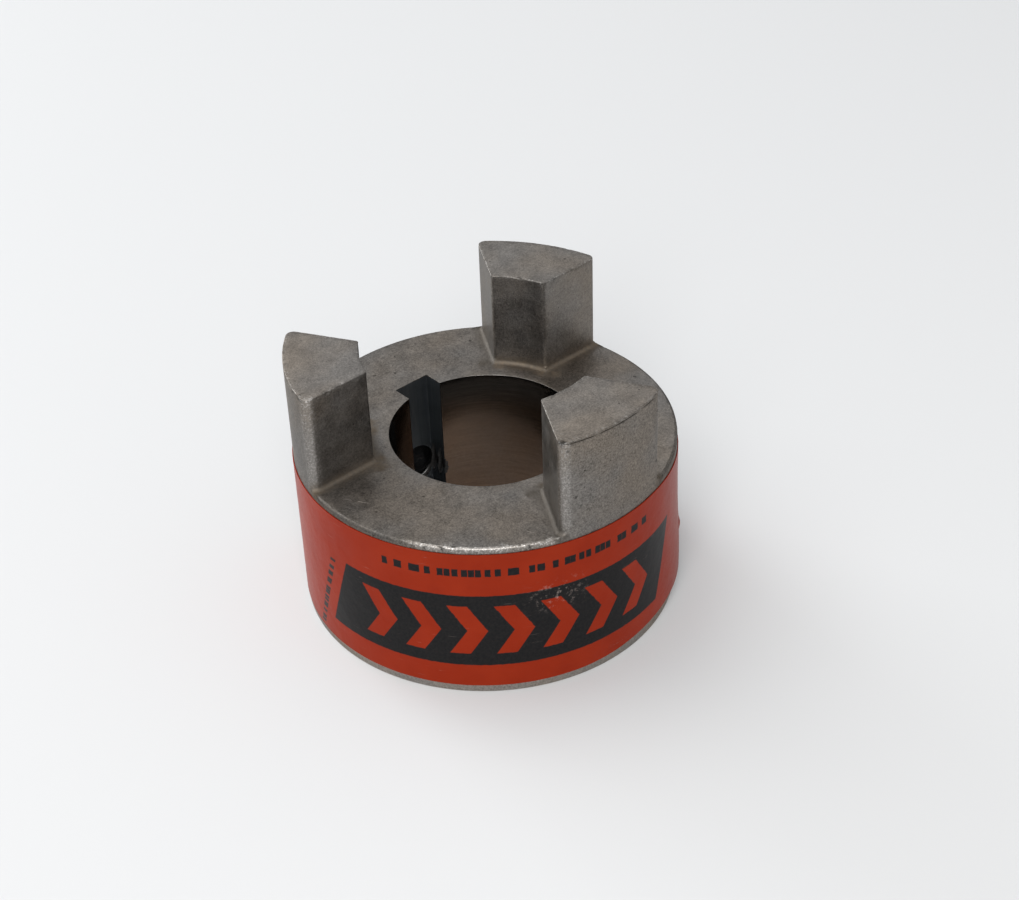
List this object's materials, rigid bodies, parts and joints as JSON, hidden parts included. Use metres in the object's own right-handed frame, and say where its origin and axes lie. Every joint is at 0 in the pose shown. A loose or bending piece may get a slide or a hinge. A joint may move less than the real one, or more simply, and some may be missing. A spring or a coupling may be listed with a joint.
{
  "type": "jaw coupling hub",
  "caption": "Round iron coupling hub with driving jaws on one face, a keyed through bore, a radial set screw and a wrap-round label.",
  "frame": {"origin": "on the bore axis, in the plane of the hub's plain end", "axes": "+Z along the bore towards the jaws; +Y from the bore axis through the middle of the keyway and the set screw; +X completes the right-handed frame"},
  "size_m": [0.0447, 0.0447, 0.0328],
  "materials": {
    "sintered_iron": "fine-grained sintered grey iron, lightly oiled",
    "black_steel": "black oxide alloy steel, satin",
    "label": "semi-gloss orange-red film with a charcoal panel"
  },
  "bodies": {
    "hub": {"hub": "sintered_iron", "label": "label"},
    "set_screw": {"set_screw": "black_steel"}
  },
  "joints": [
    {"name": "set_screw_travel", "type": "slide", "parent": "hub", "child": "set_screw", "axis": [0, 1, 0], "range_m": [-0.00254, 0.00762]}
  ]
}
